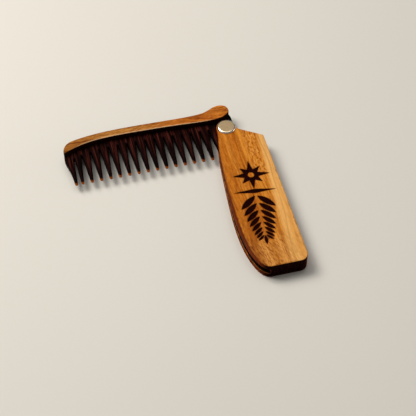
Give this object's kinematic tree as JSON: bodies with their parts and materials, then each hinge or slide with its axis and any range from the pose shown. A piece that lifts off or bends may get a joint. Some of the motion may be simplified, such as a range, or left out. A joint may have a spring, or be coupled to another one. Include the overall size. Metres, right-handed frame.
{
  "type": "folding beard comb",
  "caption": "Folding pocket comb: a layered wooden handle with a slot, and a wide-toothed comb with a raised spine that turns on a metal button pivot.",
  "frame": {"origin": "the pivot axis at the plane of the back face, which the comb rests on", "axes": "+Z through the thickness, from the back face to the front face with the button; the handle runs from the pivot along -Y; at rest the comb is open at a right angle and runs from the pivot along -X"},
  "size_m": [0.1171, 0.1234, 0.0112],
  "materials": {
    "handle_wood": "oiled golden-brown hardwood, grain along the handle, edges darkened by the cut",
    "spacer_wood": "dark red-brown edge of the middle layer, satin",
    "cap_wood": "oiled mid-brown hardwood, grain along the spine",
    "tooth_wood": "very dark red-brown, smooth, streaked along the teeth",
    "button_metal": "satin flat with a polished bevelled rim",
    "screw_metal": "turned",
    "bush_brass": "turned",
    "washer_nylon": "natural nylon"
  },
  "bodies": {
    "handle": {"front_scale": "handle_wood", "back_scale": "handle_wood", "handle_spacer": "spacer_wood", "pivot_post": "button_metal", "pivot_screw": "screw_metal", "front_washer": "washer_nylon", "back_washer": "washer_nylon"},
    "comb": {"tooth_plate": "tooth_wood", "spine_cap_front": "cap_wood", "spine_cap_back": "cap_wood", "pivot_bush": "bush_brass"}
  },
  "joints": [
    {"name": "comb_pivot", "type": "hinge", "parent": "handle", "child": "comb", "pos_m": [0, 0, 0.005], "axis": [0, 0, 1], "range_deg": [-94, 86]}
  ]
}
